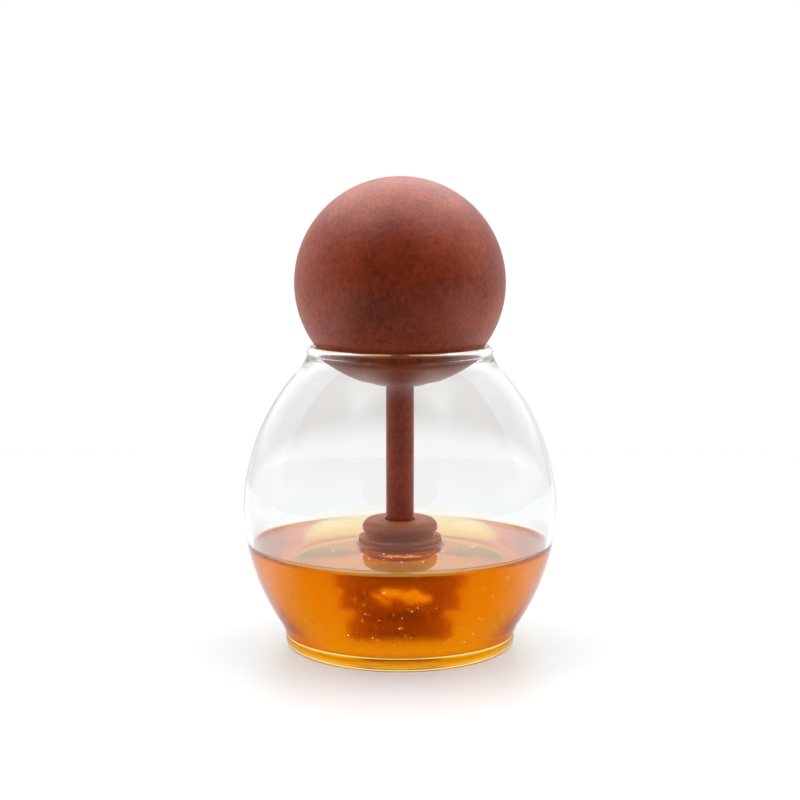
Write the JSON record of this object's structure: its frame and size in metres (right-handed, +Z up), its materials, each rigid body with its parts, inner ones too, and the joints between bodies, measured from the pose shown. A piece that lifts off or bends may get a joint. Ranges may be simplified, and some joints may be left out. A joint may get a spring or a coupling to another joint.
{
  "type": "glass honey jar",
  "caption": "Round clear glass jar part filled with honey, with a wooden ball stopper resting in its rim that carries a dipper on a rod down into the honey.",
  "frame": {"origin": "centre of the foot, on the surface that the jar stands on", "axes": "+Z up along the jar's axis; the jar, the honey, the rod, the head and the ball are all turned round it, so +X and +Y are free"},
  "size_m": [0.09, 0.09, 0.1346],
  "materials": {
    "glass": "clear, smooth blown glass",
    "honey": "clear amber honey with fine bubbles",
    "wood": "satin, dark reddish-brown turned wood"
  },
  "bodies": {
    "root": {"glass_jar": "glass", "honey": "honey", "stopper_ball": "wood", "dipper_rod": "wood", "dipper_head": "wood"}
  },
  "joints": []
}
